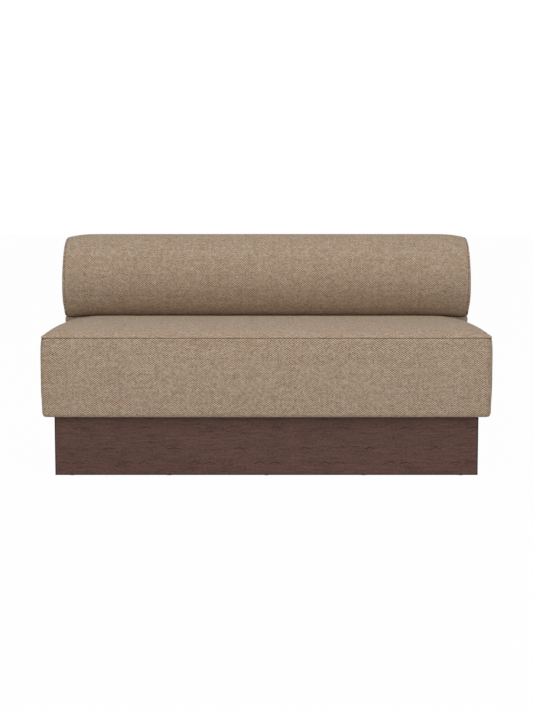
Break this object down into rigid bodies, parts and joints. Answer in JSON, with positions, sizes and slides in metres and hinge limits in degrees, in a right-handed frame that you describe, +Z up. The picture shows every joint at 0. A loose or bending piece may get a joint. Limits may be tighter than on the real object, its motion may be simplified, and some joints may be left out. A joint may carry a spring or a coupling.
{
  "type": "dining sofa",
  "caption": "Armless dining sofa: crowned box seat on a recessed dark oak plinth, with a low D-shaped back roll on a narrow neck, in taupe woven fabric.",
  "frame": {"origin": "on the floor under the middle of the whole sofa's bounding box", "axes": "+X along the seat, to the right as seen from the front; -Y out of the front of the seat; +Z up"},
  "size_m": [1.6344, 0.77, 0.857],
  "materials": {
    "stained_oak": "dark-stained oak veneer, satin lacquer",
    "frame_timber": "planed softwood, unfinished",
    "plywood": "birch plywood, unfinished",
    "hardboard": "thin hardboard, unfinished",
    "glide_nylon": "black nylon, matte",
    "upholstery_fabric": "warm taupe melange weave, matte",
    "foam": "open-cell polyurethane foam, cream",
    "fibre_wadding": "white polyester fibre wadding",
    "lining_cloth": "black non-woven lining cloth",
    "elastic_webbing": "woven elastic webbing",
    "zinc_steel": "zinc-plated steel"
  },
  "bodies": {
    "root": {"back_cover_front": "upholstery_fabric", "back_cover_left_end": "upholstery_fabric", "back_cover_rear": "upholstery_fabric", "back_cover_right_end": "upholstery_fabric", "back_foam": "foam", "back_front_board": "plywood", "back_post_centre": "frame_timber", "back_post_left": "frame_timber", "back_post_right": "frame_timber", "back_rear_panel": "hardboard", "back_top_rail": "frame_timber", "back_wadding": "fibre_wadding", "base_bolts": "zinc_steel", "base_tee_nuts": "zinc_steel", "board_screws": "zinc_steel", "bolt_washers": "zinc_steel", "floor_glides": "glide_nylon", "neck_cover_front": "upholstery_fabric", "neck_cover_left_end": "upholstery_fabric", "neck_cover_right_end": "upholstery_fabric", "neck_foam": "foam", "plinth_corner_posts": "frame_timber", "plinth_cross_rails": "frame_timber", "plinth_front_panel": "stained_oak", "plinth_left_panel": "stained_oak", "plinth_long_cleats": "frame_timber", "plinth_rear_panel": "stained_oak", "plinth_right_panel": "stained_oak", "plinth_side_cleats": "frame_timber", "post_bolts": "zinc_steel", "post_nuts": "zinc_steel", "seat_bottom_cross_boards": "frame_timber", "seat_bottom_front_board": "frame_timber", "seat_bottom_rear_board": "frame_timber", "seat_bottom_side_boards": "frame_timber", "seat_braces": "frame_timber", "seat_corner_blocks": "frame_timber", "seat_cover_front": "upholstery_fabric", "seat_cover_left": "upholstery_fabric", "seat_cover_rear": "upholstery_fabric", "seat_cover_right": "upholstery_fabric", "seat_cover_top": "upholstery_fabric", "seat_dust_cloth": "lining_cloth", "seat_foam_core": "foam", "seat_foam_topper": "foam", "seat_front_foam": "foam", "seat_front_rail": "frame_timber", "seat_inner_rail": "frame_timber", "seat_left_foam": "foam", "seat_left_rail": "frame_timber", "seat_rear_panel": "hardboard", "seat_rear_rail": "frame_timber", "seat_right_foam": "foam", "seat_right_rail": "frame_timber", "seat_support_cloth": "lining_cloth", "seat_wadding_band": "fibre_wadding", "seat_wadding_top": "fibre_wadding", "webbing_front_to_rear": "elastic_webbing", "webbing_side_to_side": "elastic_webbing"}
  },
  "joints": []
}
